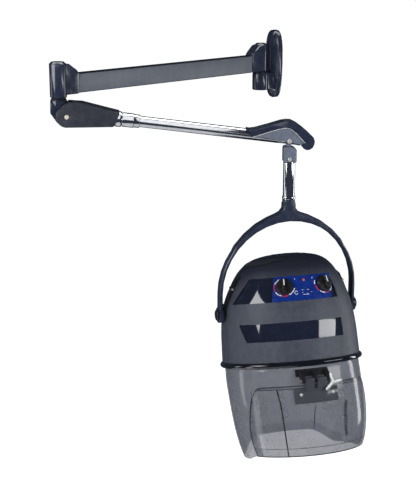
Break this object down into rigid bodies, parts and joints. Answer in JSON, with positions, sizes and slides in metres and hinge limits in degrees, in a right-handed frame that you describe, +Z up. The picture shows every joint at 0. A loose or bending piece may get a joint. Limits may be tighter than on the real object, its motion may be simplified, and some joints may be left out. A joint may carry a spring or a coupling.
{
  "type": "hood hair dryer",
  "caption": "Wall-mounted hood hair dryer: a folding swing arm carries a yoke with a tilting domed hood, smoked clear visor that opens, two knobs and a fan",
  "frame": {"origin": "centre of the wall bracket's back face, on the wall", "axes": "+Y into the wall, +Z up, the dryer reaches out along -Y and to +X"},
  "size_m": [0.7391, 0.8409, 1.0789],
  "materials": {
    "navy_plastic": "moulded dark navy plastic, satin to glossy",
    "satin_black": "satin black plastic",
    "black_steel": "black enamelled steel",
    "gray_enamel": "semi-gloss gray enamel on steel tube",
    "matte_gray": "fine-grained matte dark gray",
    "gloss_black": "high-gloss black",
    "gray_plastic": "plain mid gray",
    "slate_paint": "slate blue-gray paint on die-cast alloy",
    "chrome": "polished chrome plate",
    "silver_trim": "brushed silver",
    "bright_steel": "bright zinc plate",
    "steel": "plain steel",
    "gray_steel": "dark gray painted steel",
    "brass": "plain brass",
    "ivory_plastic": "ivory plastic",
    "blue_panel": "blue printed panel",
    "amber_lens": "amber lamp lens",
    "heater_metal": "oxidised heating tube",
    "mica": "mica sheet",
    "smoked_plastic": "smoked clear polycarbonate"
  },
  "bodies": {
    "wall": {"wall_bracket": "gray_steel", "wall_cover": "navy_plastic", "wall_screw_upper": "bright_steel", "wall_screw_lower": "bright_steel", "wall_hinge_pin": "steel", "wall_thrust_washer": "brass"},
    "swing_arm": {"wall_end_housing": "navy_plastic", "swing_bar": "gray_enamel", "elbow_housing": "navy_plastic"},
    "elbow": {"elbow_knuckle": "navy_plastic", "elbow_pin": "steel", "elbow_thrust_washer": "brass", "lift_pin": "ivory_plastic"},
    "lift_arm": {"elbow_cover_left": "satin_black", "elbow_cover_right": "satin_black", "arm_tube": "chrome", "collar_ring": "chrome", "collar_sleeve": "chrome", "balance_spring": "steel", "end_cover": "satin_black", "end_trim": "silver_trim", "end_bracket": "slate_paint", "hanger_pivot_screw": "bright_steel"},
    "hanger": {"hanger_block": "slate_paint", "hanger_clamp_screw": "bright_steel", "drop_tube": "chrome", "stop_screw": "bright_steel", "stop_collar": "chrome"},
    "yoke": {"yoke": "navy_plastic", "pivot_bolt_left": "satin_black", "pivot_bolt_right": "satin_black"},
    "hood": {"front_shell": "matte_gray", "back_shell": "matte_gray", "inner_dome": "gloss_black", "top_vent_cap": "gloss_black", "control_panel": "blue_panel", "indicator_lens": "amber_lens", "timer_body": "ivory_plastic", "thermostat_body": "ivory_plastic", "rim_ring": "gloss_black", "smoked_chamber": "smoked_plastic", "air_diffuser": "gray_plastic", "motor_plate": "gray_steel", "fan_motor": "steel", "heater_element": "heater_metal", "heater_frame": "mica", "tilt_bracket_left": "black_steel", "tilt_bracket_right": "black_steel", "bracket_screw_left": "bright_steel", "bracket_screw_right": "bright_steel", "visor_hinge_base": "satin_black", "visor_hinge_pin": "steel"},
    "visor": {"visor_door": "smoked_plastic", "visor_hinge_plate": "smoked_plastic", "visor_screw_left": "bright_steel", "visor_screw_right": "bright_steel"},
    "latch": {"latch_lever": "chrome"},
    "timer": {"timer_knob": "satin_black"},
    "temperature": {"temperature_knob": "satin_black"},
    "fan": {"fan_wheel": "gray_plastic"}
  },
  "joints": [
    {"name": "wall_swivel", "type": "hinge", "parent": "wall", "child": "swing_arm", "pos_m": [0, -0.06, 0], "axis": [0, 0, 1], "range_deg": [-85, 70]},
    {"name": "elbow_swivel", "type": "hinge", "parent": "swing_arm", "child": "elbow", "pos_m": [0.0992, -0.8135, 0], "axis": [0, 0, 1], "range_deg": [-180, 13]},
    {"name": "arm_lift", "type": "hinge", "parent": "elbow", "child": "lift_arm", "pos_m": [0.11033, -0.79688, -0.073], "axis": [0.831, -0.5563, 0], "range_deg": [-15, 15]},
    {"name": "hanger_level", "type": "hinge", "parent": "lift_arm", "child": "hanger", "pos_m": [0.42547, -0.32613, -0.142], "axis": [0.831, -0.5563, 0], "range_deg": [-15, 15]},
    {"name": "yoke_swivel", "type": "hinge", "parent": "hanger", "child": "yoke", "pos_m": [0.42714, -0.32363, -0.599], "axis": [0, 0, 1], "range_deg": [-175, 175]},
    {"name": "hood_tilt", "type": "hinge", "parent": "yoke", "child": "hood", "pos_m": [0.42714, -0.32363, -0.599], "axis": [-0.3584, -0.9336, 0], "range_deg": [-40, 20]},
    {"name": "visor_open", "type": "hinge", "parent": "hood", "child": "visor", "pos_m": [0.64652, -0.41963, -0.71118], "axis": [-0.3584, -0.9336, 0], "range_deg": [0, 65]},
    {"name": "latch_press", "type": "hinge", "parent": "visor", "child": "latch", "pos_m": [0.64652, -0.41963, -0.71118], "axis": [-0.3584, -0.9336, 0], "range_deg": [0, 12], "stiffness_Nm_per_rad": 0.5},
    {"name": "timer_turn", "type": "hinge", "parent": "hood", "child": "timer", "pos_m": [0.5259, -0.42174, -0.49707], "axis": [0.5899, -0.5913, 0.5499], "range_deg": [-150, 150]},
    {"name": "temperature_turn", "type": "hinge", "parent": "hood", "child": "temperature", "pos_m": [0.56599, -0.32281, -0.4965], "axis": [0.8339, 0.0082, 0.5518], "range_deg": [-135, 135]},
    {"name": "fan_spin", "type": "hinge", "parent": "hood", "child": "fan", "pos_m": [0.41586, -0.3193, -0.51622], "axis": [-0.2652, 0.1018, 0.9588], "continuous": true}
  ],
  "couplings": [
    {"joint": "hanger_level", "follows": "arm_lift", "ratio": -1}
  ]
}
